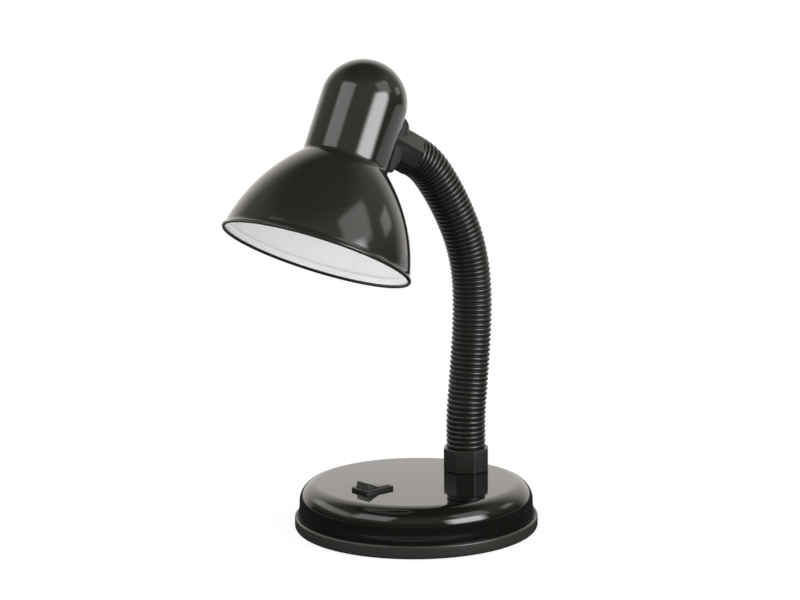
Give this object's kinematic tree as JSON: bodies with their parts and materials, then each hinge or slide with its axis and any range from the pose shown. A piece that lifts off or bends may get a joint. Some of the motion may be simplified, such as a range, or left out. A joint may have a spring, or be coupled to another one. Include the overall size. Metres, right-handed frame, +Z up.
{
  "type": "desk lamp",
  "caption": "Black gooseneck desk lamp: weighted round base with a rocker switch, ribbed neck that bends, and a tilted bell shade over a screw lampholder.",
  "frame": {"origin": "centre of the pad face that rests on the table", "axes": "+Z up, -Y to the front where the shade hangs, +Y to the back where the neck stands, X = 0 is the plane of symmetry"},
  "size_m": [0.15, 0.2001, 0.2831],
  "materials": {
    "black_enamel": "gloss",
    "black_gloss": "gloss",
    "black_satin": "satin",
    "ribbed_black": "satin",
    "foam": "matt",
    "rubber": "matt",
    "iron": "cast",
    "zinc_steel": "zinc plated",
    "link_alloy": "plain",
    "brass": "plain",
    "phenolic": "satin",
    "lead_grey": "satin",
    "block_white": "satin"
  },
  "bodies": {
    "base": {"base_cover": "black_gloss", "base_tray": "black_satin", "ballast_weight": "iron", "ballast_screws": "zinc_steel", "tray_screws": "zinc_steel", "base_pad": "foam", "cord_grommet": "rubber", "switch_housing": "black_satin", "switch_terminals": "brass", "terminal_block": "block_white", "switch_wires": "zinc_steel", "foot_collar": "black_satin", "foot_washer": "zinc_steel", "foot_nut": "zinc_steel", "neck_sleeve_1": "ribbed_black", "neck_core_1": "link_alloy", "neck_lead_1": "lead_grey"},
    "neck_2": {"neck_sleeve_2": "ribbed_black", "neck_core_2": "link_alloy", "neck_lead_2": "lead_grey"},
    "neck_3": {"neck_sleeve_3": "ribbed_black", "neck_core_3": "link_alloy", "neck_lead_3": "lead_grey"},
    "neck_4": {"neck_sleeve_4": "ribbed_black", "neck_core_4": "link_alloy", "neck_lead_4": "lead_grey"},
    "neck_5": {"neck_sleeve_5": "ribbed_black", "neck_core_5": "link_alloy", "neck_lead_5": "lead_grey"},
    "neck_6": {"neck_sleeve_6": "ribbed_black", "neck_core_6": "link_alloy", "neck_lead_6": "lead_grey"},
    "neck_7": {"neck_sleeve_7": "ribbed_black", "neck_core_7": "link_alloy", "neck_lead_7": "lead_grey"},
    "neck_8": {"neck_sleeve_8": "ribbed_black", "neck_core_8": "link_alloy", "neck_lead_8": "lead_grey"},
    "neck_9": {"neck_sleeve_9": "ribbed_black", "neck_core_9": "link_alloy", "neck_lead_9": "lead_grey"},
    "neck_10": {"neck_sleeve_10": "ribbed_black", "neck_core_10": "link_alloy", "neck_lead_10": "lead_grey"},
    "neck_11": {"neck_sleeve_11": "ribbed_black", "neck_core_11": "link_alloy", "neck_lead_11": "lead_grey"},
    "head": {"neck_sleeve_12": "ribbed_black", "neck_core_12": "link_alloy", "neck_lead_12": "lead_grey", "head_bracket": "black_satin", "head_nut": "zinc_steel", "shade": "black_enamel", "lampholder_body": "phenolic", "lampholder_shell": "brass", "lampholder_contact": "brass", "lampholder_strap": "zinc_steel", "lampholder_nut": "zinc_steel"},
    "rocker": {"switch_rocker": "black_satin"}
  },
  "joints": [
    {"name": "neck_bend_1", "type": "hinge", "parent": "base", "child": "neck_2", "pos_m": [0, 0.0426, 0.0551], "axis": [1, 0, 0], "range_deg": [-7.5, 7.5]},
    {"name": "neck_sway_2", "type": "hinge", "parent": "neck_2", "child": "neck_3", "pos_m": [0, 0.04365, 0.07366], "axis": [0, -0.9936, 0.1132], "range_deg": [-7.5, 7.5]},
    {"name": "neck_bend_3", "type": "hinge", "parent": "neck_3", "child": "neck_4", "pos_m": [0, 0.04568, 0.09215], "axis": [1, 0, 0], "range_deg": [-7.5, 7.5]},
    {"name": "neck_bend_4", "type": "hinge", "parent": "neck_4", "child": "neck_5", "pos_m": [0, 0.04746, 0.11066], "axis": [1, 0, 0], "range_deg": [-7.5, 7.5]},
    {"name": "neck_sway_5", "type": "hinge", "parent": "neck_5", "child": "neck_6", "pos_m": [0, 0.0486, 0.12923], "axis": [0, -0.9994, 0.0349], "range_deg": [-7.5, 7.5]},
    {"name": "neck_bend_6", "type": "hinge", "parent": "neck_6", "child": "neck_7", "pos_m": [0, 0.04819, 0.14781], "axis": [1, 0, 0], "range_deg": [-7.5, 7.5]},
    {"name": "neck_bend_7", "type": "hinge", "parent": "neck_7", "child": "neck_8", "pos_m": [0, 0.04497, 0.1661], "axis": [1, 0, 0], "range_deg": [-7.5, 7.5]},
    {"name": "neck_sway_8", "type": "hinge", "parent": "neck_8", "child": "neck_9", "pos_m": [0, 0.03831, 0.18344], "axis": [0, -0.8949, -0.4462], "range_deg": [-7.5, 7.5]},
    {"name": "neck_bend_9", "type": "hinge", "parent": "neck_9", "child": "neck_10", "pos_m": [0, 0.02902, 0.19954], "axis": [1, 0, 0], "range_deg": [-7.5, 7.5]},
    {"name": "neck_bend_10", "type": "hinge", "parent": "neck_10", "child": "neck_11", "pos_m": [0, 0.01574, 0.21668], "axis": [1, 0, 0], "range_deg": [-7.5, 7.5]},
    {"name": "neck_sway_11", "type": "hinge", "parent": "neck_11", "child": "head", "pos_m": [0, 0.00068, 0.22733], "axis": [0, -0.3827, -0.9239], "range_deg": [-7.5, 7.5]},
    {"name": "switch_rock", "type": "hinge", "parent": "base", "child": "rocker", "pos_m": [0, -0.0344, 0.028], "axis": [1, 0, 0], "range_deg": [0, 22]}
  ]
}
